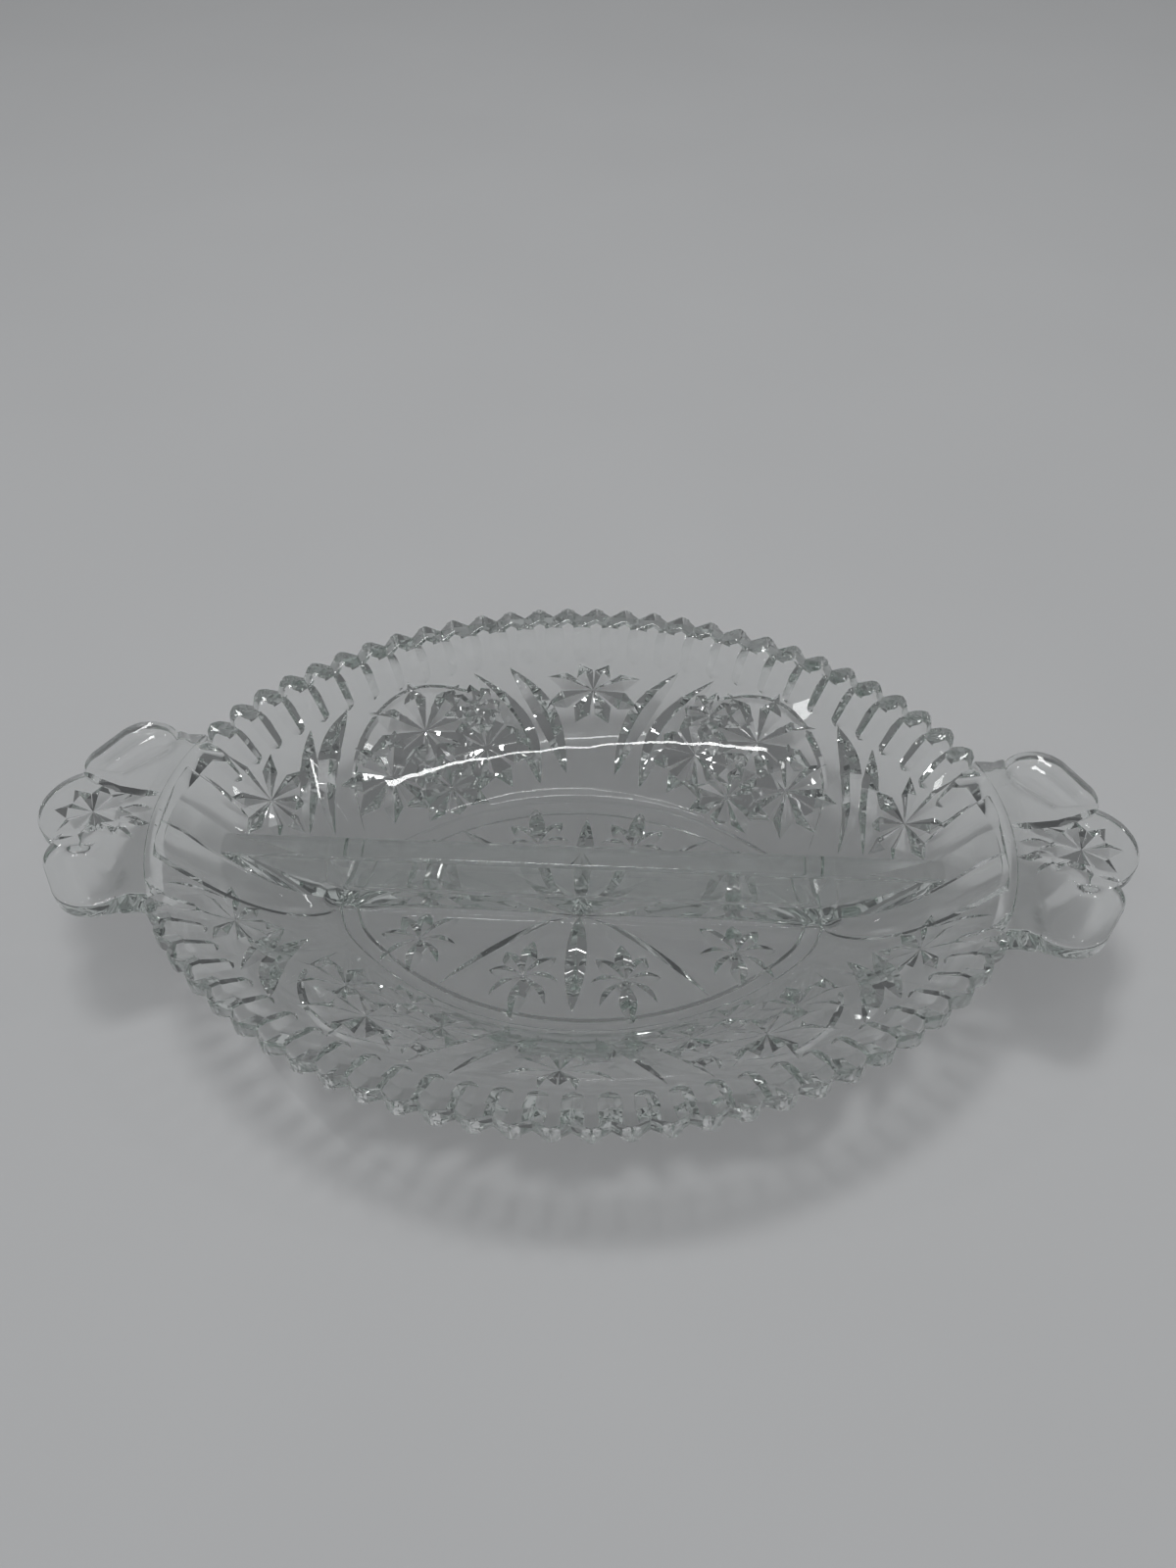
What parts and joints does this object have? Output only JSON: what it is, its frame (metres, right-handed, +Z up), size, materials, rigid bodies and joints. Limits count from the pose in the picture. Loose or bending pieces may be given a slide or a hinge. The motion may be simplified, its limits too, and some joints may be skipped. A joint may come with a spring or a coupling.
{
  "type": "relish tray",
  "caption": "Oval pressed-glass relish tray with a lengthwise divider, saw-tooth rim, tab handles and a low foot ring.",
  "frame": {"origin": "middle of the flat underside of the foot ring", "axes": "+X along the divider towards one handle, +Y towards the rear well, +Z up out of the wells"},
  "size_m": [0.254, 0.156, 0.0354],
  "materials": {
    "clear_glass": "polished"
  },
  "bodies": {
    "root": {"floor_plate": "clear_glass", "foot_ring": "clear_glass", "rear_wall": "clear_glass", "front_wall": "clear_glass", "rear_rim": "clear_glass", "front_rim": "clear_glass", "divider": "clear_glass", "left_handle": "clear_glass", "right_handle": "clear_glass"}
  },
  "joints": []
}
